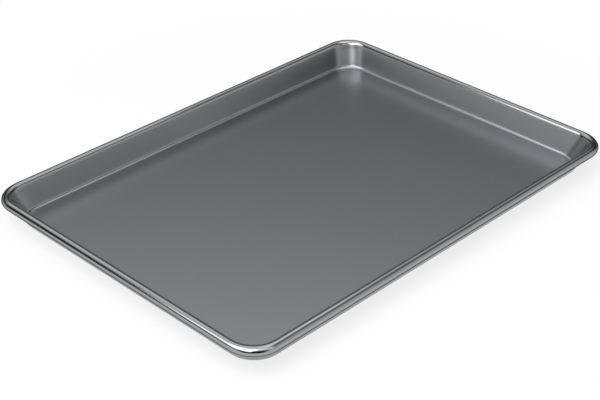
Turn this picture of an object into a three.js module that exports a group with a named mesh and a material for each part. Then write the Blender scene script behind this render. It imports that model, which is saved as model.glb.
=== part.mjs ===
// A half-size sheet pan: one steel sheet pressed into a shallow tray, with its edge rolled outwards
// round a reinforcing wire. Millimetres, +Z up, +X along the pan. The origin is the middle of the
// flat underside.
import * as THREE from "three";

// Driving dimensions of the pressed tray.
const RIM_LENGTH = 457.2; // over the rolled rim, 18 inches
const RIM_WIDTH = 330.2; // over the rolled rim, 13 inches
const PAN_HEIGHT = 25.4; // from the underside to the top of the rim, 1 inch
const SHEET_THICKNESS = 0.8;
const BASE_INSET = 17.4; // level distance from the rim's outer edge to the flat of the floor
const FLOOR_BEND_RADIUS = 3.2; // inside radius where the floor turns up into the wall
const FLOOR_CORNER_RADIUS = 24; // in plan, at the foot of the wall

// Driving dimensions of the rolled rim and its wire.
const ROLL_DIAMETER = 8.4; // over the outside of the sheet
const RIM_OUTER_CORNER_RADIUS = 27.3; // in plan, along the rim's outer edge
const RIM_INNER_CORNER_RADIUS = 22; // in plan, along the rim's inner edge
const ROLL_SLIT = 0.6; // left open between the sheet's free edge and the wall
const WIRE_CLEARANCE = 0.3; // all round, between the wire and the inside of the roll
const WIRE_END_GAP = 1.5; // between the two butted ends of the wire

// How finely round shapes are faceted.
const SECTION_STEP = THREE.MathUtils.degToRad(15); // along the bend and the roll, at most
const CORNER_FACETS = 10; // round each corner in plan
const WIRE_FACETS = 12; // round the wire

const FULL_TURN = 2 * Math.PI;
const QUARTER_TURN = Math.PI / 2;

// The section of the pan is drawn in two directions: inset, the level distance inwards from the rim's
// outer edge, and z. A direction in it is an angle: 0 points at the pan's middle, a quarter turn is up.
const ROLL_RADIUS = ROLL_DIAMETER / 2;
const ROLL_CENTRE = { inset: ROLL_RADIUS, z: PAN_HEIGHT - ROLL_RADIUS };
const BEND_CENTRE = { inset: BASE_INSET, z: SHEET_THICKNESS + FLOOR_BEND_RADIUS };

// The wall is the straight line that touches the bend and the roll, which lie on opposite sides of it.
// This gives the direction that its food side faces.
function wallFacing() {
  const across = BEND_CENTRE.inset - ROLL_CENTRE.inset;
  const down = ROLL_CENTRE.z - BEND_CENTRE.z;
  const reach = (FLOOR_BEND_RADIUS + ROLL_RADIUS) / Math.hypot(across, down);
  return Math.acos(reach) - Math.atan2(down, across);
}

// The roll ends where its outside is still the slit's width away from the back of the wall.
function rollEnd(wallAngle) {
  const backOfWall = ROLL_RADIUS - SHEET_THICKNESS;
  return wallAngle + FULL_TURN - Math.acos((backOfWall - ROLL_SLIT) / ROLL_RADIUS);
}

// Angles along an arc in equal steps, with both of its ends.
function arcAngles(from, to) {
  const steps = Math.ceil(Math.abs(to - from) / SECTION_STEP);
  return Array.from({ length: steps + 1 }, (_, k) => from + ((to - from) * k) / steps);
}

// Angles round the roll, with its highest, outermost and lowest points among them.
function rollAngles(wallAngle) {
  const stops = [wallAngle, QUARTER_TURN, 2 * QUARTER_TURN, 3 * QUARTER_TURN, rollEnd(wallAngle)];
  const angles = [wallAngle];
  for (let k = 1; k < stops.length; k++) {
    angles.push(...arcAngles(stops[k - 1], stops[k]).slice(1));
  }
  return angles;
}

// The roll's corner radius in plan changes evenly from its outer edge to its inner edge.
function rollCornerRadius(inset) {
  const share = inset / ROLL_DIAMETER;
  return THREE.MathUtils.lerp(RIM_OUTER_CORNER_RADIUS, RIM_INNER_CORNER_RADIUS, share);
}

// Points of the sheet's food side: where it faces at a given angle on the bend, and on the roll.
function bendPoint(facing) {
  return {
    inset: BEND_CENTRE.inset - FLOOR_BEND_RADIUS * Math.cos(facing),
    z: BEND_CENTRE.z - FLOOR_BEND_RADIUS * Math.sin(facing),
    cornerRadius: FLOOR_CORNER_RADIUS,
    facing,
  };
}

function rollPoint(facing) {
  const inset = ROLL_CENTRE.inset + ROLL_RADIUS * Math.cos(facing);
  return {
    inset,
    z: ROLL_CENTRE.z + ROLL_RADIUS * Math.sin(facing),
    cornerRadius: rollCornerRadius(inset),
    facing,
  };
}

// The other face of the sheet, one thickness behind a point of the food side. Its corners are wider or
// tighter by the level part of that step, so that the sheet keeps its thickness round them.
function otherSide({ inset, z, cornerRadius, facing }) {
  const levelStep = SHEET_THICKNESS * Math.cos(facing);
  return {
    inset: inset - levelStep,
    z: z - SHEET_THICKNESS * Math.sin(facing),
    cornerRadius: cornerRadius + levelStep,
  };
}

// A level rounded rectangle through a point of the section. It runs anticlockwise, and its first and
// last points are the two ends of the straight +Y side.
function planLoop({ inset, z, cornerRadius }) {
  const x = RIM_LENGTH / 2 - inset - cornerRadius;
  const y = RIM_WIDTH / 2 - inset - cornerRadius;
  const cornerCentres = [
    [-x, y],
    [-x, -y],
    [x, -y],
    [x, y],
  ];
  const loop = [];
  cornerCentres.forEach(([centreX, centreY], corner) => {
    for (let k = 0; k <= CORNER_FACETS; k++) {
      const turn = (1 + corner + k / CORNER_FACETS) * QUARTER_TURN;
      const outX = cornerRadius * Math.cos(turn);
      const outY = cornerRadius * Math.sin(turn);
      loop.push(new THREE.Vector3(centreX + outX, centreY + outY, z));
    }
  });
  return loop;
}

// The triangles of one closed surface.
class Skin {
  corners = [];

  // The band from one row of points up to the next, facing left of the way that the rows run. A closed
  // band also joins the rows' ends to their starts.
  band(lower, upper, closed) {
    const last = closed ? lower.length : lower.length - 1;
    for (let k = 0; k < last; k++) {
      const next = (k + 1) % lower.length;
      this.corners.push(lower[k], upper[k], upper[next]);
      this.corners.push(lower[k], upper[next], lower[next]);
    }
  }

  // A flat face inside a loop, facing the side from which the loop runs anticlockwise.
  face(loop) {
    for (let k = 1; k < loop.length - 1; k++) {
      this.corners.push(loop[0], loop[k], loop[k + 1]);
    }
  }

  geometry() {
    const made = new THREE.BufferGeometry().setFromPoints(this.corners);
    made.computeVertexNormals();
    return made;
  }
}

// The pressed sheet: bands from the floor's edge up the food side, round the roll, over the free edge
// and back along the other face, closed by the two faces of the floor.
function panBodyGeometry() {
  const wallAngle = wallFacing();
  const bend = arcAngles(QUARTER_TURN, wallAngle).map(bendPoint);
  const roll = rollAngles(wallAngle).map(rollPoint);
  const front = [...bend, ...roll];
  const back = front.map(otherSide).reverse();
  const loops = [...front, ...back].map(planLoop);
  const skin = new Skin();
  for (let k = 1; k < loops.length; k++) {
    skin.band(loops[k - 1], loops[k], true);
  }
  skin.face(loops[0]);
  skin.face(loops.at(-1).toReversed());
  return skin.geometry();
}

// The wire: a round bar along the middle of the roll, its two ends butted halfway along the +Y side.
function rimWireGeometry() {
  const wireRadius = ROLL_RADIUS - SHEET_THICKNESS - WIRE_CLEARANCE;
  const rows = [];
  for (let k = 0; k < WIRE_FACETS; k++) {
    const facing = (k / WIRE_FACETS) * FULL_TURN;
    const inwards = wireRadius * Math.cos(facing);
    const loop = planLoop({
      inset: ROLL_CENTRE.inset + inwards,
      z: ROLL_CENTRE.z + wireRadius * Math.sin(facing),
      cornerRadius: rollCornerRadius(ROLL_CENTRE.inset) - inwards,
    });
    const start = loop[0].clone().setX(-WIRE_END_GAP / 2);
    const end = loop.at(-1).clone().setX(WIRE_END_GAP / 2);
    rows.push([start, ...loop, end]);
  }
  const skin = new Skin();
  rows.forEach((row, k) => skin.band(row, rows[(k + 1) % rows.length], false));
  skin.face(rows.map((row) => row[0]).reverse());
  skin.face(rows.map((row) => row.at(-1)));
  return skin.geometry();
}

function namedMesh(name, geometry, finish) {
  const mesh = new THREE.Mesh(geometry, new THREE.MeshStandardMaterial(finish));
  mesh.name = name;
  return mesh;
}

const sheetPan = new THREE.Group();
sheetPan.add(
  namedMesh("pan_body", panBodyGeometry(), { color: "#747679", roughness: 0.35, metalness: 0.9 }),
  namedMesh("rim_wire", rimWireGeometry(), { color: "#9a9b9c", roughness: 0.45, metalness: 1.0 }),
);

export default sheetPan;
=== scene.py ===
# %% [markdown]
# # A sheet pan in Blender
# A sheet pan is one sheet of steel: a flat floor, four low leaning walls, and an edge that is rolled
# outwards round a wire. A measured model of it gives the sizes and the frame. This lesson makes the same
# pan again with a mesh fine enough for smooth metal, whose reflections show every facet, and adds its
# finish and its light.

# %% Load the measured model
import math
from collections import namedtuple

import bpy
from mathutils import Matrix, Vector


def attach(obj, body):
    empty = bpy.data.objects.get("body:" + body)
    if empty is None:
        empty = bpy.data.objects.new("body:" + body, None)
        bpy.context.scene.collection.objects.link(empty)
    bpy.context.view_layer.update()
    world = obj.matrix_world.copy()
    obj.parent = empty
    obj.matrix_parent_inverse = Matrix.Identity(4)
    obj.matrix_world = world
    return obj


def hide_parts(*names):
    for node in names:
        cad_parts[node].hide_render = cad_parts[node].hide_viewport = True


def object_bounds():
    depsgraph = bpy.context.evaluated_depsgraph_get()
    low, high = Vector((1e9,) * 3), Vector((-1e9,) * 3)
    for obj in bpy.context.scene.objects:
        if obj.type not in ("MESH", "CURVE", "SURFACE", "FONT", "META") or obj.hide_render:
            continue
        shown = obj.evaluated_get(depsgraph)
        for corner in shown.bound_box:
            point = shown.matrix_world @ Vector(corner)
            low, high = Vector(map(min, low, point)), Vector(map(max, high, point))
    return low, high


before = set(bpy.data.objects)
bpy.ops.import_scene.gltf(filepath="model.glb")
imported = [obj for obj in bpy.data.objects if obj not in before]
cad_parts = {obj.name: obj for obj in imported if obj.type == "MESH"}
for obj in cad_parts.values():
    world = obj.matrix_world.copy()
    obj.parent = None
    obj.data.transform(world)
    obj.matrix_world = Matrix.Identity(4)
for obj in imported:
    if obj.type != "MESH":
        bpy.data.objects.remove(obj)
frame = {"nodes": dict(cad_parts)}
cad_low, cad_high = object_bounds()
print("measured nodes:", ", ".join(frame["nodes"]))

# %% [markdown]
# ## Sizes
# Blender works in metres and sheet metal is measured in millimetres, so each size is a number of
# millimetres times one named unit. The overall sizes come from the measured model. The others are those of
# the pressed sheet: how far in its floor starts, how tight its bends are, and how round its corners are in
# plan.

# %% Sizes of the pan
MM = 0.001
RIM_LENGTH, RIM_WIDTH, PAN_HEIGHT = cad_high - cad_low
SHEET_THICKNESS = 0.8 * MM
BASE_INSET = 17.4 * MM  # level distance from the rim's outer edge to the flat of the floor
FLOOR_BEND_RADIUS = 3.2 * MM
FLOOR_CORNER_RADIUS = 24 * MM
ROLL_RADIUS = 4.2 * MM
RIM_OUTER_CORNER_RADIUS = 27.3 * MM
RIM_INNER_CORNER_RADIUS = 22 * MM
ROLL_SLIT = 0.6 * MM  # between the sheet's free edge and the back of the wall
print(f"over the rim: {RIM_LENGTH / MM:.1f} x {RIM_WIDTH / MM:.1f} x {PAN_HEIGHT / MM:.1f} mm")

# %% [markdown]
# ## The camera
# The photograph looks down on one corner of the pan. The straight sides of the rim meet at two vanishing
# points, which give the lens and the tilt, and the length of the pan gives the distance. A camera could
# also be moved by eye until the outlines agree. It comes first, so that every later step can be judged
# through it.

# %% Set the camera
CAMERA_PLACE = Vector((-0.7807, -0.7540, 0.6591))
CAMERA_AIM = Vector((-0.0176, -0.0056, 0.0))  # where the middle of the picture meets the table
CAMERA_ROLL = math.radians(0.13)
SENSOR_WIDTH = 36  # millimetres, Blender's own unit for sensors and lenses
LENS = 84.45

camera = bpy.data.objects.new("camera", bpy.data.cameras.new("camera"))
camera.data.sensor_width = SENSOR_WIDTH
camera.data.lens = LENS
looking = (CAMERA_AIM - CAMERA_PLACE).to_track_quat("-Z", "Y").to_matrix().to_4x4()
camera.matrix_world = Matrix.Translation(CAMERA_PLACE) @ looking @ Matrix.Rotation(CAMERA_ROLL, 4, "Z")
bpy.context.scene.collection.objects.link(camera)
bpy.context.scene.camera = camera
print(f"camera {(CAMERA_AIM - CAMERA_PLACE).length:.2f} m from its aim")

# %% [markdown]
# ## The section of the sheet
# Cut across one side, the pan is a line: floor, bend, wall, roll. A point on it has an inset, the level
# distance inwards from the rim's outer edge, and a height. A direction is an angle, with 0 towards the
# middle of the pan and a quarter turn up. The wall is the straight line that touches both the bend and the
# roll.

# %% Work out the wall and the end of the roll
QUARTER_TURN = math.pi / 2
HALF_TURN = math.pi
FULL_TURN = 2 * math.pi
ROLL_CENTRE = Vector((ROLL_RADIUS, PAN_HEIGHT - ROLL_RADIUS))
BEND_CENTRE = Vector((BASE_INSET, SHEET_THICKNESS + FLOOR_BEND_RADIUS))

bend_from_roll = BEND_CENTRE - ROLL_CENTRE
touching = math.acos((FLOOR_BEND_RADIUS + ROLL_RADIUS) / bend_from_roll.length)
WALL_FACING = touching + math.atan2(bend_from_roll.y, bend_from_roll.x)
back_of_wall = ROLL_RADIUS - SHEET_THICKNESS
ROLL_END = WALL_FACING + FULL_TURN - math.acos((back_of_wall - ROLL_SLIT) / ROLL_RADIUS)


def along_arc(centre, radius, facing):
    return centre + radius * Vector((math.cos(facing), math.sin(facing)))


WALL_TOP = along_arc(ROLL_CENTRE, ROLL_RADIUS, WALL_FACING)
WALL_FOOT = along_arc(BEND_CENTRE, -FLOOR_BEND_RADIUS, WALL_FACING)
print(f"the wall leans {math.degrees(WALL_FACING):.1f} degrees")
print(f"the roll turns {math.degrees(ROLL_END - WALL_FACING):.0f} degrees")

# %% [markdown]
# ## Corners in plan
# Seen from above, every line along the sheet is a rounded rectangle. The rim's corners are tighter on its
# inside than on its outside. The floor's corners are a little rounder than those at the top of the wall, so
# the wall flares where it turns. The corner radius is therefore a function of the inset. A press eases such
# changes, so the radius is averaged over a short stretch of the sheet. Without that, the corner's wall
# would meet the roll and the floor in a crease.

# %% Corner radius at an inset
EASED_STRETCH = 3 * MM
EASING_SAMPLES = 9


def mix(start, end, share):
    return start + (end - start) * share


def roll_corner_radius(inset):
    return mix(RIM_OUTER_CORNER_RADIUS, RIM_INNER_CORNER_RADIUS, inset / (2 * ROLL_RADIUS))


def creased_corner_radius(inset):
    down_the_wall = (inset - WALL_TOP.x) / (WALL_FOOT.x - WALL_TOP.x)
    if down_the_wall < 0:
        return roll_corner_radius(inset)
    return mix(roll_corner_radius(WALL_TOP.x), FLOOR_CORNER_RADIUS, min(down_the_wall, 1))


def corner_radius(inset):
    shares = [k / (EASING_SAMPLES - 1) - 0.5 for k in range(EASING_SAMPLES)]
    return sum(creased_corner_radius(inset + EASED_STRETCH * share) for share in shares) / EASING_SAMPLES


print(f"corner radius at the wall's top {corner_radius(WALL_TOP.x) / MM:.1f} mm")

# %% [markdown]
# ## Stations round the pan
# The section is drawn at many stations round the pan. A station in a corner turns about that corner's
# centre, and one on a straight side lies a share of the way from one corner's centre to the next. The
# corners get the most stations, because that is where a coarse mesh would show as facets. Pressed sheet
# doesn't start to turn all at once, so the ends of each corner are eased into the sides: an average along
# the line does that. A plain arc would leave a hard upright edge in the wall's reflections.

# %% Ease a corner into its sides
RUN_IN = 0.1  # share of a corner's turn over which it eases into a side
RUN_IN_SAMPLES = 31


def clamp(share):
    return max(0, min(1, share))


def outwards(quarter_turns):
    return Vector((math.cos(quarter_turns * QUARTER_TURN), math.sin(quarter_turns * QUARTER_TURN)))


def plain_corner(corner, turned):
    """The way outwards on a plain arc and, before and after it, along the straight sides."""
    on_arc = clamp(turned)
    along_side = (turned - on_arc) * QUARTER_TURN
    return outwards(corner + on_arc) + along_side * outwards(corner + on_arc + 1)


def eased_corner(corner, turned):
    """The same, averaged over a stretch of the line with the most weight in its middle."""
    shares = [2 * k / (RUN_IN_SAMPLES + 1) - 1 for k in range(1, RUN_IN_SAMPLES + 1)]
    total = Vector((0, 0))
    for share in shares:
        total += (1 - abs(share)) * plain_corner(corner, turned + RUN_IN * share)
    return total / sum(1 - abs(share) for share in shares)


moved = RIM_OUTER_CORNER_RADIUS * (eased_corner(0, 0) - plain_corner(0, 0)).length
print(f"easing moves the end of the rim's corner by {moved / MM:.2f} mm")

# %% List the stations
CORNER_STEPS = 56
SIDE_STEP = 8 * MM
RUN_IN_STEPS = 2  # of each side, left to the eased ends of its corners

# centre is -1 to 1 along and across the pan, out is the way outwards from it in corner radii, and corner is
# the share of the corner's turn
Station = namedtuple("Station", "centre out corner")


def corner_signs(corner):
    diagonal = (corner % 4 + 0.5) * QUARTER_TURN
    return Vector((math.copysign(1, math.cos(diagonal)), math.copysign(1, math.sin(diagonal))))


stations = []
for corner in range(4):
    here, following = corner_signs(corner), corner_signs(corner + 1)
    for step in range(CORNER_STEPS + 1):
        turned = mix(-RUN_IN, 1 + RUN_IN, step / CORNER_STEPS)
        stations.append(Station(here, eased_corner(corner, turned), clamp(turned)))
    side_length = RIM_LENGTH if corner % 2 == 0 else RIM_WIDTH
    side_steps = round((side_length - 2 * RIM_OUTER_CORNER_RADIUS) / SIDE_STEP)
    for step in range(RUN_IN_STEPS, side_steps - RUN_IN_STEPS + 1):
        stations.append(Station(here.lerp(following, step / side_steps), outwards(corner + 1), 0))
print(len(stations), "stations")


# %% Put a point of the section at a station
def plan_point(station, inset, height, radius):
    centre_x = station.centre.x * (RIM_LENGTH / 2 - inset - radius)
    centre_y = station.centre.y * (RIM_WIDTH / 2 - inset - radius)
    return Vector((centre_x + radius * station.out.x, centre_y + radius * station.out.y, height))


first = plan_point(stations[0], 0, PAN_HEIGHT, RIM_OUTER_CORNER_RADIUS)
print(f"the first station is {first.x / MM:.1f} mm along and {first.y / MM:.1f} mm across")

# %% [markdown]
# ## The food side of the sheet
# The food side is one skin, swept from the floor up the wall and round the roll to the sheet's free edge.
# Where the roll turns a corner its underside has to shorten, so it puckers a little there. The free edge
# also wavers, because the edge of a pressed blank is never quite true. Both are real shapes in the mesh,
# not painted on.

# %% Points across the sheet
FLOOR_RING_INSETS = [40 * MM, 24 * MM, 20 * MM]  # rings that keep the floor flat right up to its bend
BEND_STEPS = 14
WALL_STEPS = 10
ROLL_STEPS = 56
PUCKER_DEPTH = 0.1 * MM
PUCKERS_IN_A_CORNER = 9
PUCKER_GROWTH = 6  # the higher this power, the closer the puckers keep to the free edge
EDGE_WAVER = math.radians(1.5)
EDGE_WAVES = (7, 17)  # full waves of the free edge in one trip round the pan
WAVER_GROWTH = 4  # the same power for the waver


def floor_and_wall():
    """Inset, height and corner radius of each row from the floor to the foot of the roll."""
    points = [Vector((inset, SHEET_THICKNESS)) for inset in FLOOR_RING_INSETS]
    for step in range(BEND_STEPS + 1):
        facing = mix(QUARTER_TURN, WALL_FACING, step / BEND_STEPS)
        points.append(along_arc(BEND_CENTRE, -FLOOR_BEND_RADIUS, facing))
    points += [WALL_FOOT.lerp(WALL_TOP, step / WALL_STEPS) for step in range(1, WALL_STEPS)]
    return [(point.x, point.y, corner_radius(point.x)) for point in points]


def roll_round(station, around):
    """The same for the roll at a station, which lies a share of the way around the pan."""
    waves = [math.sin(count * around * FULL_TURN) for count in EDGE_WAVES]
    waver = EDGE_WAVER * sum(waves) / len(EDGE_WAVES)
    puckers = math.sin(station.corner * PUCKERS_IN_A_CORNER * FULL_TURN)
    pucker = PUCKER_DEPTH * math.sin(station.corner * HALF_TURN) * (puckers - 1)
    rows = []
    for step in range(ROLL_STEPS + 1):
        share = step / ROLL_STEPS
        facing = mix(WALL_FACING, ROLL_END, share) - waver * share ** WAVER_GROWTH
        point = along_arc(ROLL_CENTRE, ROLL_RADIUS + pucker * share ** PUCKER_GROWTH, facing)
        eased = corner_radius if facing < HALF_TURN else roll_corner_radius
        rows.append((point.x, point.y, eased(point.x)))
    return rows


lower_rows = floor_and_wall()
sheet_rows = []
for number, station in enumerate(stations):
    section = lower_rows + roll_round(station, number / len(stations))
    sheet_rows.append([plan_point(station, *point) for point in section])
print(len(sheet_rows[0]), "points across the sheet at each station")

# %% [markdown]
# ## Rows of points become a mesh
# Each four neighbouring points make one face. All faces must turn the same way, because Solidify thickens a
# skin against its normals: here from the food side down and out, as the sheet really lies. The middle of
# the floor is one flat face, so nothing can ripple in its reflection.


# %% Faces between rows
def skin_faces(rows, rows_close, across_closes):
    row_count, across = len(rows), len(rows[0])
    faces = []
    for row in range(row_count if rows_close else row_count - 1):
        here, following = row * across, (row + 1) % row_count * across
        for k in range(across if across_closes else across - 1):
            beside = (k + 1) % across
            faces.append((here + k, here + beside, following + beside, following + k))
    return faces


def show_piece(name, rows, faces, node):
    """Make a smooth mesh and show it in place of a node of the measured model."""
    mesh = bpy.data.meshes.new(name)
    mesh.from_pydata([point for row in rows for point in row], [], faces)
    mesh.shade_smooth()
    piece = bpy.data.objects.new(name, mesh)
    bpy.context.scene.collection.objects.link(piece)
    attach(piece, "root")
    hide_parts(node)
    print(f"{name}: {len(mesh.vertices)} points, {len(mesh.polygons)} faces")
    return piece


# %% [markdown]
# ## The pressed sheet
# Solidify gives the skin the thickness of the sheet, so the roll is hollow and ends in a cut edge beside
# the wall. A sheared edge is never razor sharp, so a small Bevel takes off its two corners. Modifiers keep
# both sizes editable, where modelling the back face by hand would need all the points a second time.

# %% Make the sheet
ALL_BEHIND = -1  # Solidify's offset for a sheet that lies wholly behind its food side
EDGE_ROUNDING = 0.15 * MM
EDGE_SEGMENTS = 2
EDGE_ANGLE = math.radians(50)  # only the cut edge is sharper than this
CUT_EDGE_MATERIAL = 1  # the second material of the sheet

floor_middle = tuple(row * len(sheet_rows[0]) for row in range(len(sheet_rows)))
sheet_faces = skin_faces(sheet_rows, rows_close=True, across_closes=False) + [floor_middle]
pan = show_piece("pressed_pan", sheet_rows, sheet_faces, "pan_body")

thickness = pan.modifiers.new("sheet thickness", "SOLIDIFY")
thickness.thickness = SHEET_THICKNESS
thickness.offset = ALL_BEHIND
thickness.material_offset_rim = CUT_EDGE_MATERIAL
rounding = pan.modifiers.new("sheared edge", "BEVEL")
rounding.width = EDGE_ROUNDING
rounding.segments = EDGE_SEGMENTS
rounding.limit_method = "ANGLE"
rounding.angle_limit = EDGE_ANGLE

# %% [markdown]
# ## The wire in the rim
# The rim is stiff because it is rolled round a steel wire. One length of wire goes round the pan, and its
# two ends meet in the middle of a long side. It can be seen only through the slit under the rim. A curve
# with a round bevel would do, but the same rows of points give it chamfered ends and follow the roll
# exactly.

# %% Sweep the wire
WIRE_CLEARANCE = 0.3 * MM
WIRE_RADIUS = ROLL_RADIUS - SHEET_THICKNESS - WIRE_CLEARANCE
WIRE_STEPS = 24
WIRE_END_GAP = 1.5 * MM
WIRE_CHAMFER = 0.6 * MM
WIRE_CORNER_RADIUS = roll_corner_radius(ROLL_CENTRE.x)
WIRE_REACH = RIM_LENGTH / 2 - ROLL_CENTRE.x - WIRE_CORNER_RADIUS  # half of the wire's straight length


def wire_row(station, radius):
    row = []
    for step in range(WIRE_STEPS):
        across = along_arc(Vector((0, 0)), radius, step / WIRE_STEPS * FULL_TURN)
        place = ROLL_CENTRE + across
        row.append(plan_point(station, place.x, place.y, WIRE_CORNER_RADIUS - across.x))
    return row


def end_station(x):
    return Station(Vector((x / WIRE_REACH, 1)), outwards(1), 0)


def is_butt_side(station):
    return station.out == outwards(1) and abs(station.centre.x) < 1


# %% Join the wire's two chamfered ends
butt_side = [number for number, station in enumerate(stations) if is_butt_side(station)]
after_gap = next(k for k in butt_side if stations[k].centre.x * WIRE_REACH < -SIDE_STEP / 2)
before_gap = next(k for k in butt_side if stations[k].centre.x * WIRE_REACH < SIDE_STEP / 2)
wire_rows = [wire_row(station, WIRE_RADIUS) for station in stations[after_gap:] + stations[:before_gap]]
for side, end in ((-1, 0), (1, len(wire_rows) + 1)):
    full = wire_row(end_station(side * (WIRE_END_GAP / 2 + WIRE_CHAMFER)), WIRE_RADIUS)
    tip = wire_row(end_station(side * WIRE_END_GAP / 2), WIRE_RADIUS - WIRE_CHAMFER)
    wire_rows[end:end] = [tip, full] if side < 0 else [full, tip]
wire_faces = skin_faces(wire_rows, rows_close=False, across_closes=True)
wire_faces.append(tuple(reversed(range(WIRE_STEPS))))
wire_faces.append(tuple(range((len(wire_rows) - 1) * WIRE_STEPS, len(wire_rows) * WIRE_STEPS)))
wire = show_piece("reinforcing_wire", wire_rows, wire_faces, "rim_wire")

# %% [markdown]
# ## Measuring up the sheet
# The finish of the sheet changes along its section: the floor is satin and the rolled rim is burnished. So
# every point carries its distance up the sheet from the innermost ring, and how hard the tools rubbed it
# there, which the materials read as attributes. A UV map could do the same, but it would need a seam
# somewhere round the pan.

# %% Store the distance up the sheet
BEND_WORKED = 0.06  # of the rubbing that the roll gets

straight_side = Station(Vector((0, 1)), outwards(1), 0)
nominal = [Vector(point[:2]) for point in lower_rows + roll_round(straight_side, 0)]
up_the_sheet = [0.0]
for lower, upper in zip(nominal, nominal[1:]):
    up_the_sheet.append(up_the_sheet[-1] + (upper - lower).length)
BEND_STARTS = up_the_sheet[len(FLOOR_RING_INSETS)]
BEND_ENDS = up_the_sheet[len(FLOOR_RING_INSETS) + BEND_STEPS]
ROLL_STARTS = up_the_sheet[len(lower_rows)]


def worked(height_up):
    """How hard the tools rubbed the sheet: fully on the roll and less on the bend."""
    if height_up > ROLL_STARTS:
        return 1.0
    up_the_bend = (height_up - BEND_STARTS) / (BEND_ENDS - BEND_STARTS)
    return BEND_WORKED * math.sin(HALF_TURN * clamp(up_the_bend))


def store(piece, name, values):
    piece.data.attributes.new(name, "FLOAT", "POINT").data.foreach_set("value", values)


store(pan, "up_the_sheet", up_the_sheet * len(stations))
store(pan, "worked", [worked(height_up) for height_up in up_the_sheet] * len(stations))
print(f"the roll starts {ROLL_STARTS / MM:.1f} mm up the sheet and ends at {up_the_sheet[-1] / MM:.1f} mm")

# %% [markdown]
# ## Colours and nodes
# Colours are written as on a screen, as sRGB hex values, and Blender's shaders want linear light, so one
# function turns the first into the second. Another adds a node with its settings, values and links in one
# call.


# %% Small helpers for materials
def linear(colour):
    """Linear RGBA of an sRGB colour such as #9c9da0."""
    shares = [int(colour[k:k + 2], 16) / 255 for k in (1, 3, 5)]
    return (*[s / 12.92 if s <= 0.04045 else ((s + 0.055) / 1.055) ** 2.4 for s in shares], 1.0)


def add_node(tree, kind, inputs=None, **settings):
    """Add a node. Each input is a socket's name or number, with a value or the output to link to it."""
    node = tree.nodes.new(kind)
    for name, value in settings.items():
        setattr(node, name, value)
    for socket, value in (inputs or {}).items():
        if isinstance(value, bpy.types.NodeSocket):
            tree.links.new(value, node.inputs[socket])
        else:
            node.inputs[socket].default_value = value
    return node


def new_material(name):
    """An empty metal and its node tree."""
    material = bpy.data.materials.new(name)
    material.use_nodes = True
    shader = material.node_tree.nodes["Principled BSDF"]
    shader.inputs["Metallic"].default_value = 1.0
    return material, material.node_tree, shader


# The sockets of a Mix node that blends colours, which share their names with its other sockets
MIXED_COLOUR, COLOUR_A, COLOUR_B = 2, 6, 7
print("a mid grey of #808080 is", round(linear("#808080")[0], 3), "in linear light")

# %% [markdown]
# ## Satin non-stick coating
# The sheet is steel under a thin grey coating filled with metal flakes. It is sprayed and baked, so it is
# smooth with a faint orange peel, and it blurs what it mirrors into soft gradients. Paint with a clear coat
# would be another way to make it, but the photograph shows no second, sharper reflection, so it is one
# rough metal. The rolling dies burnish the rim, which mirrors far more sharply and is lighter. Fine lines
# run along wall and rim, where the sheet slid through the tools, and the underside has scuffs from oven
# shelves. A dark edge tint on the outside of the roll is painted shade: it draws the roll's outline.

# %% Patterns of the coating
FLAKE_SIZE = 1.2 * MM  # real flakes are some 0.05 mm across, drawn coarser so that they show
DRIFT_SIZE = 70 * MM  # slow changes in the thickness of the spray
PEEL_SIZE = 2.5 * MM
PEEL_HEIGHT = 0.0015 * MM
TOOL_LINE_SPACING = 0.6 * MM  # real lines are some 0.1 mm apart, drawn coarser so that they show
TOOL_LINE_HEIGHT = 0.0006 * MM
SCUFF_WIDTH = 1.5 * MM
SCUFF_LENGTH = 90 * MM

coating, tree, shader = new_material("satin_nonstick_coating")
place = add_node(tree, "ShaderNodeTexCoord").outputs["Object"]
flakes = add_node(tree, "ShaderNodeTexNoise", {"Vector": place, "Scale": 1 / FLAKE_SIZE, "Detail": 2})
drift = add_node(tree, "ShaderNodeTexNoise", {"Vector": place, "Scale": 1 / DRIFT_SIZE, "Detail": 3})
peel = add_node(tree, "ShaderNodeTexNoise", {"Vector": place, "Scale": 1 / PEEL_SIZE, "Detail": 1})
height_up = add_node(tree, "ShaderNodeAttribute", attribute_name="up_the_sheet").outputs["Fac"]
line_number = add_node(tree, "ShaderNodeMath", {0: height_up, 1: TOOL_LINE_SPACING}, operation="DIVIDE")
slow_place = add_node(tree, "ShaderNodeVectorMath", {0: place, "Scale": 1 / DRIFT_SIZE}, operation="SCALE")
lines = add_node(
    tree, "ShaderNodeTexNoise",
    {"Vector": slow_place.outputs[0], "W": line_number.outputs[0], "Scale": 1, "Detail": 2},
    noise_dimensions="4D",
)
print(coating.name, "has", len(tree.nodes), "nodes so far")

# %% Where the coating is burnished and where it is scuffed
BURNISH_EASING = 2.5 * MM
CROWN = ROLL_STARTS + ROLL_RADIUS * (QUARTER_TURN - WALL_FACING)  # the top of the roll
OUTERMOST = ROLL_STARTS + ROLL_RADIUS * (HALF_TURN - WALL_FACING)  # where the burnish ends
MOSTLY_DOWN = (-0.8, -0.95)  # upward part of the normal, from unscuffed to fully scuffed
SCUFF_NOISE = (0.62, 0.72)  # from unscuffed to fully scuffed

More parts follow.
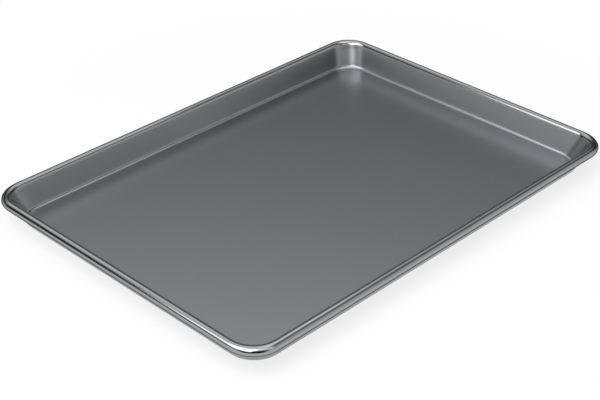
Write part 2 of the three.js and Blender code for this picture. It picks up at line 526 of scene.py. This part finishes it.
inner_end = add_node(
    tree, "ShaderNodeMapRange",
    {"Value": height_up, "From Min": ROLL_STARTS - BURNISH_EASING, "From Max": ROLL_STARTS + BURNISH_EASING},
    interpolation_type="SMOOTHSTEP",
)
outer_end = add_node(
    tree, "ShaderNodeMapRange",
    {"Value": height_up, "From Min": OUTERMOST + BURNISH_EASING, "From Max": OUTERMOST - BURNISH_EASING},
    interpolation_type="SMOOTHSTEP",
)
burnish = add_node(
    tree, "ShaderNodeMath", {0: inner_end.outputs["Result"], 1: outer_end.outputs["Result"]},
    operation="MULTIPLY",
).outputs[0]
rubbed = add_node(tree, "ShaderNodeAttribute", attribute_name="worked").outputs["Fac"]
normal = add_node(tree, "ShaderNodeNewGeometry").outputs["Normal"]
upward = add_node(tree, "ShaderNodeSeparateXYZ", {0: normal}).outputs["Z"]
underneath = add_node(
    tree, "ShaderNodeMapRange", {"Value": upward, "From Min": MOSTLY_DOWN[0], "From Max": MOSTLY_DOWN[1]}
).outputs["Result"]
stretched = add_node(
    tree, "ShaderNodeMapping",
    {"Vector": place, "Scale": (1 / SCUFF_LENGTH, 1 / SCUFF_WIDTH, 1 / SCUFF_WIDTH)},
)
streaks = add_node(tree, "ShaderNodeTexNoise", {"Vector": stretched.outputs[0], "Scale": 1, "Detail": 2})
streaked = add_node(
    tree, "ShaderNodeMapRange",
    {"Value": streaks.outputs["Fac"], "From Min": SCUFF_NOISE[0], "From Max": SCUFF_NOISE[1]},
).outputs["Result"]
scuffs = add_node(tree, "ShaderNodeMath", {0: underneath, 1: streaked}, operation="MULTIPLY").outputs[0]
print(f"burnished from {ROLL_STARTS / MM:.1f} to {OUTERMOST / MM:.1f} mm up the sheet")

# %% Colour of the coating, with a painted dark outline on the roll
COATING_DARK, COATING_LIGHT = "#98999d", "#9fa0a4"
BURNISHED = "#a4a5a8"
SCUFFED = "#b4b4b5"
UNTINTED = "#ffffff"
# painted shade: a dark edge tint on the outside of the roll paints a dark outline into what it mirrors
# edge-on
PAINTED_DARK_OUTLINE = "#202020"  # tints what the outside of the roll mirrors when seen edge-on, and so draws its outline
PAINTED_OUTLINE_EASING = 1.5 * MM

speckle = add_node(
    tree, "ShaderNodeMix",
    {0: flakes.outputs["Fac"], COLOUR_A: linear(COATING_DARK), COLOUR_B: linear(COATING_LIGHT)},
    data_type="RGBA",
)
brighter_rim = add_node(
    tree, "ShaderNodeMix",
    {0: burnish, COLOUR_A: speckle.outputs[MIXED_COLOUR], COLOUR_B: linear(BURNISHED)}, data_type="RGBA",
)
scuffed = add_node(
    tree, "ShaderNodeMix",
    {0: scuffs, COLOUR_A: brighter_rim.outputs[MIXED_COLOUR], COLOUR_B: linear(SCUFFED)}, data_type="RGBA",
)
# where the painted dark outline lies: from the crown of the roll outwards
outside = add_node(
    tree, "ShaderNodeMapRange", {"Value": height_up, "From Min": CROWN, "From Max": CROWN + PAINTED_OUTLINE_EASING},
    interpolation_type="SMOOTHSTEP",
).outputs["Result"]
painted_outline_tint = add_node(
    tree, "ShaderNodeMix", {0: outside, COLOUR_A: linear(UNTINTED), COLOUR_B: linear(PAINTED_DARK_OUTLINE)},
    data_type="RGBA",
)
tree.links.new(scuffed.outputs[MIXED_COLOUR], shader.inputs["Base Color"])
# the painted dark outline goes into the metal's edge tint
tree.links.new(painted_outline_tint.outputs[MIXED_COLOUR], shader.inputs["Specular Tint"])
print(coating.name, "has its colours")

# %% Roughness and bump of the coating
SATIN_ROUGHNESS = (0.275, 0.295)  # from the thinnest to the thickest spray
BURNISHED_ROUGHNESS = 0.13
SCUFFED_ROUGHNESS = 0.42

satin = add_node(
    tree, "ShaderNodeMapRange",
    {"Value": drift.outputs["Fac"], "To Min": SATIN_ROUGHNESS[0], "To Max": SATIN_ROUGHNESS[1]},
)
rim_gloss = add_node(
    tree, "ShaderNodeMix", {0: rubbed, 2: satin.outputs["Result"], 3: BURNISHED_ROUGHNESS}
)
dulled = add_node(tree, "ShaderNodeMix", {0: scuffs, 2: rim_gloss.outputs[0], 3: SCUFFED_ROUGHNESS})
peeled = add_node(tree, "ShaderNodeBump", {"Height": peel.outputs["Fac"], "Distance": PEEL_HEIGHT})
lined = add_node(
    tree, "ShaderNodeBump",
    {"Height": lines.outputs["Fac"], "Distance": TOOL_LINE_HEIGHT, "Normal": peeled.outputs[0]},
)
tree.links.new(dulled.outputs[0], shader.inputs["Roughness"])
tree.links.new(lined.outputs[0], shader.inputs["Normal"])
pan.data.materials.append(coating)
print(coating.name, "has", len(tree.nodes), "nodes")

# %% [markdown]
# ## Bare sheared steel
# The blank is sheared from coated sheet, so only its cut edge shows bare steel: lighter than the coating,
# with fine marks across the edge. It lies under the rim, beside the slit, and is seen only from below.

# %% Make the cut edge's material
SHEAR_MARK_SIZE = 0.3 * MM
SHEAR_MARK_DEPTH = 0.01 * MM
STEEL_DARK, STEEL_LIGHT = "#a9a8a5", "#c4c3bf"
TORN_ROUGHNESS = (0.3, 0.5)  # from the cut's smooth part to its torn part

cut_steel, tree, shader = new_material("bare_sheared_steel")
place = add_node(tree, "ShaderNodeTexCoord").outputs["Object"]
marks = add_node(tree, "ShaderNodeTexNoise", {"Vector": place, "Scale": 1 / SHEAR_MARK_SIZE, "Detail": 2})
mark = marks.outputs["Fac"]
steel = add_node(
    tree, "ShaderNodeMix", {0: mark, COLOUR_A: linear(STEEL_DARK), COLOUR_B: linear(STEEL_LIGHT)},
    data_type="RGBA",
)
torn = add_node(
    tree, "ShaderNodeMapRange", {"Value": mark, "To Min": TORN_ROUGHNESS[0], "To Max": TORN_ROUGHNESS[1]}
)
notched = add_node(tree, "ShaderNodeBump", {"Height": mark, "Distance": SHEAR_MARK_DEPTH})
tree.links.new(steel.outputs[MIXED_COLOUR], shader.inputs["Base Color"])
tree.links.new(torn.outputs["Result"], shader.inputs["Roughness"])
tree.links.new(notched.outputs[0], shader.inputs["Normal"])
pan.data.materials.append(cut_steel)
print(cut_steel.name, "is material", pan.data.materials.find(cut_steel.name), "of the sheet")

# %% [markdown]
# ## Galvanised wire
# The wire is drawn steel with a zinc coat. Zinc freezes in crystals, the spangle, each of which has its own
# brightness, so a Voronoi pattern gives every crystal a grey of its own.

# %% Make the wire's material
SPANGLE_SIZE = 3 * MM
GRAIN_SIZE = 0.5 * MM
GRAIN_HEIGHT = 0.01 * MM
ZINC_DARK, ZINC_LIGHT = "#a7a9ab", "#bfc1c3"
ZINC_ROUGHNESS = (0.34, 0.5)  # from the darkest to the lightest crystal

zinc, tree, shader = new_material("galvanised_wire")
place = add_node(tree, "ShaderNodeTexCoord").outputs["Object"]
spangle = add_node(tree, "ShaderNodeTexVoronoi", {"Vector": place, "Scale": 1 / SPANGLE_SIZE})
crystal = add_node(tree, "ShaderNodeSeparateColor", {0: spangle.outputs["Color"]}).outputs[0]
grain = add_node(tree, "ShaderNodeTexNoise", {"Vector": place, "Scale": 1 / GRAIN_SIZE, "Detail": 2})
greys = add_node(
    tree, "ShaderNodeMix", {0: crystal, COLOUR_A: linear(ZINC_DARK), COLOUR_B: linear(ZINC_LIGHT)},
    data_type="RGBA",
)
matt = add_node(
    tree, "ShaderNodeMapRange", {"Value": crystal, "To Min": ZINC_ROUGHNESS[0], "To Max": ZINC_ROUGHNESS[1]}
)
rough = add_node(tree, "ShaderNodeBump", {"Height": grain.outputs["Fac"], "Distance": GRAIN_HEIGHT})
tree.links.new(greys.outputs[MIXED_COLOUR], shader.inputs["Base Color"])
tree.links.new(matt.outputs["Result"], shader.inputs["Roughness"])
tree.links.new(rough.outputs[0], shader.inputs["Normal"])
wire.data.materials.append(zinc)
print(zinc.name, "has", len(tree.nodes), "nodes")

# %% [markdown]
# ## The table
# The table is matt and white, and lights the underside of the rim. Lit by lamps alone it would turn grey,
# so the eye and the metal see it partly as plain white, which the lamps don't change. That share is smaller
# near the pan, where the table keeps a soft shadow, and grows until the table is plain white all over.

# %% Lay the table
TABLE_SIZE = 24.0  # metres, so that a low view still sees no edge
TABLE_WHITE = "#f4f4f4"
SHADOWLESS_SHARE = 0.78  # of the table near the pan, so that the shadow on it is light
SHADOW_REACH = (0.26, 0.46)  # metres from the middle, from the full shadow to none

half = TABLE_SIZE / 2
table_corners = [(-half, -half, 0), (half, -half, 0), (half, half, 0), (-half, half, 0)]
table_mesh = bpy.data.meshes.new("table")
table_mesh.from_pydata(table_corners, [], [(0, 1, 2, 3)])
table = bpy.data.objects.new("table", table_mesh)
bpy.context.scene.collection.objects.link(table)
print(f"table {TABLE_SIZE:.0f} m square")

# %% Paint the table
white, tree, shader = new_material("matt_white_table")
shader.inputs["Metallic"].default_value = 0.0
shader.inputs["Base Color"].default_value = linear(TABLE_WHITE)
shader.inputs["Roughness"].default_value = 1.0
shader.inputs["Specular IOR Level"].default_value = 0.0
seen = add_node(tree, "ShaderNodeLightPath").outputs
in_view = seen["Is Camera Ray"]
for way in ("Is Glossy Ray", "Is Transmission Ray"):
    in_view = add_node(tree, "ShaderNodeMath", {0: in_view, 1: seen[way]}, operation="MAXIMUM").outputs[0]
on_table = add_node(tree, "ShaderNodeTexCoord").outputs["Object"]
from_middle = add_node(tree, "ShaderNodeVectorMath", {0: on_table}, operation="LENGTH").outputs["Value"]
shadowless = add_node(
    tree, "ShaderNodeMapRange",
    {"Value": from_middle, "From Min": SHADOW_REACH[0], "From Max": SHADOW_REACH[1],
     "To Min": SHADOWLESS_SHARE, "To Max": 1.0},
    interpolation_type="SMOOTHSTEP",
).outputs["Result"]
plain_share = add_node(tree, "ShaderNodeMath", {0: in_view, 1: shadowless}, operation="MULTIPLY").outputs[0]
plain_white = add_node(tree, "ShaderNodeEmission", {"Strength": 1.0})
paper = add_node(
    tree, "ShaderNodeMixShader", {0: plain_share, 1: shader.outputs[0], 2: plain_white.outputs[0]}
)
tree.links.new(paper.outputs[0], tree.nodes["Material Output"].inputs["Surface"])
table_mesh.materials.append(white)
print(white.name, "has", len(tree.nodes), "nodes")

# %% [markdown]
# ## The room
# Metal has no colour of its own to show: it shows the room, so the room is built from what the photograph
# shows in the metal. The floor of the pan gets darker towards its far end, so the room is dark low down and
# glows higher up. The glow leans away from the camera and is weaker towards it, because the near rim
# mirrors a dark band. Pale walls stand on the right, on the left and at the back for the sides of the pan
# to mirror, under a pale ceiling that the floor shows to a view from above. A photograph of a studio
# wrapped round the scene would be another way, but its lights could not be moved one by one.

# %% Make the glow of the room
ROOM_GLOW = {0: 0.03, 31: 0.03, 36: 0.12, 42: 0.64, 48: 1.1, 56: 1.2}  # degrees up: brightness
GLOW_LEANS, GLOW_LEANS_TOWARDS = 6.2, 72  # degrees from upright, and degrees round from +X
GLOW_BACK = 65  # degrees round from +X, where the glow is strongest
GLOW_FADES = (0.15, 0.75)  # part of the way to the back, from the weakest glow to the full one
GLOW_WEAKEST = 0.25


def direction(azimuth, elevation):
    """Unit vector towards a place in the room, from degrees round from +X and degrees up."""
    turn, rise = math.radians(azimuth), math.radians(elevation)
    return Vector((math.cos(rise) * math.cos(turn), math.cos(rise) * math.sin(turn), math.sin(rise)))


def part_towards(way):
    """How far each place in the room lies in a direction: 1 right in it, 0 beside it."""
    dot = add_node(tree, "ShaderNodeVectorMath", {0: towards, 1: way}, operation="DOT_PRODUCT")
    return dot.outputs["Value"]


world = bpy.data.worlds.new("studio")
world.use_nodes = True
bpy.context.scene.world = world
tree = world.node_tree
towards = add_node(tree, "ShaderNodeTexCoord").outputs["Generated"]
room_up = direction(GLOW_LEANS_TOWARDS, 90 - GLOW_LEANS)
glow = add_node(tree, "ShaderNodeValToRGB", {0: part_towards(room_up)})
while len(glow.color_ramp.elements) < len(ROOM_GLOW):
    glow.color_ramp.elements.new(1)
for stop, (degrees, brightness) in zip(glow.color_ramp.elements, ROOM_GLOW.items()):
    stop.position = math.sin(math.radians(degrees))
    stop.color = (brightness, brightness, brightness, 1)
strength = add_node(
    tree, "ShaderNodeMapRange",
    {"Value": part_towards(direction(GLOW_BACK, 0)), "From Min": GLOW_FADES[0], "From Max": GLOW_FADES[1],
     "To Min": GLOW_WEAKEST, "To Max": 1.0},
    interpolation_type="SMOOTHSTEP",
).outputs["Result"]
room = add_node(
    tree, "ShaderNodeVectorMath", {0: glow.outputs["Color"], "Scale": strength}, operation="SCALE"
).outputs[0]
print("room glow from", min(ROOM_GLOW.values()), "to", max(ROOM_GLOW.values()))

# %% Add the ceiling and the walls
CEILING_STARTS, CEILING_FULL = 60, 70  # degrees up
CEILING_BRIGHTNESS = 0.8


def soft_step(value, low, high, brightness):
    """Rise softly from 0 to a brightness between two angles, in degrees towards the value's direction."""
    return add_node(
        tree, "ShaderNodeMapRange",
        {"Value": value, "From Min": math.sin(math.radians(low)), "From Max": math.sin(math.radians(high)),
         "To Max": brightness},
        interpolation_type="SMOOTHSTEP",
    ).outputs["Result"]


def add_light(room, light):
    return add_node(tree, "ShaderNodeVectorMath", {0: room, 1: light}, operation="ADD").outputs[0]


def pale_wall(room, azimuth, half_width, top, fade, brightness):
    """Add a soft pale wall: its middle, half its width, its top and its soft edge, in degrees."""
    share = brightness
    for way, edge in ((direction(azimuth, 0), 90 - half_width), (Vector((0, 0, -1)), -top)):
        inside = soft_step(part_towards(way), edge - fade / 2, edge + fade / 2, 1.0)
        share = add_node(tree, "ShaderNodeMath", {0: inside, 1: share}, operation="MULTIPLY").outputs[0]
    return add_light(room, share)


height_in_room = part_towards(Vector((0, 0, 1)))
room = add_light(room, soft_step(height_in_room, CEILING_STARTS, CEILING_FULL, CEILING_BRIGHTNESS))
# on the camera's right, on its left, at the back to the left, and low along the whole back
room = pale_wall(room, azimuth=-57, half_width=42, top=42, fade=24, brightness=0.68)
room = pale_wall(room, azimuth=163, half_width=22, top=22, fade=20, brightness=0.9)
room = pale_wall(room, azimuth=100, half_width=28, top=16, fade=20, brightness=0.28)
room = pale_wall(room, azimuth=50, half_width=70, top=20, fade=16, brightness=0.2)
tree.links.new(room, tree.nodes["Background"].inputs["Color"])
print(world.name, "has", len(tree.nodes), "nodes")

# %% [markdown]
# ## The lamps
# Three lamps hang in the room. The near corner and the far corner mirror a large softbox on the left. A
# strip hangs over the near corner, and a small softbox high at the back. They are area lamps, because metal
# shows the shape of a lamp. A point lamp would be a hard dot on the rim.


# %% Hang the lamps
def softbox(name, place, aim, width, height, brightness):
    """A soft lamp at a place, facing an aim, in metres. A mirror would show its brightness."""
    lamp = bpy.data.lights.new(name, "AREA")
    lamp.shape = "RECTANGLE"
    lamp.size, lamp.size_y = width, height
    lamp.energy = brightness * math.pi * width * height
    lamp_object = bpy.data.objects.new(name, lamp)
    facing = (aim - place).to_track_quat("-Z", "Y").to_matrix().to_4x4()
    lamp_object.matrix_world = Matrix.Translation(place) @ facing
    bpy.context.scene.collection.objects.link(lamp_object)
    print(f"{name}: {lamp.energy:.1f} W")


softbox(
    "left_softbox", place=Vector((-0.85, 0.07, 1.425)), aim=Vector((1.55, 0.07, 0)),
    width=1.85, height=1.57, brightness=2.5,
)
softbox(
    "front_strip", place=Vector((-0.231, -0.531, 0.665)), aim=Vector((0.36, -0.05, 0.02)),
    width=1.1, height=0.5, brightness=0.9,
)
softbox(
    "back_softbox", place=direction(4, 68) * 1.5, aim=Vector((0, 0, 0)),
    width=0.6, height=0.6, brightness=0.9,
)
bpy.context.scene.view_settings.view_transform = "Standard"
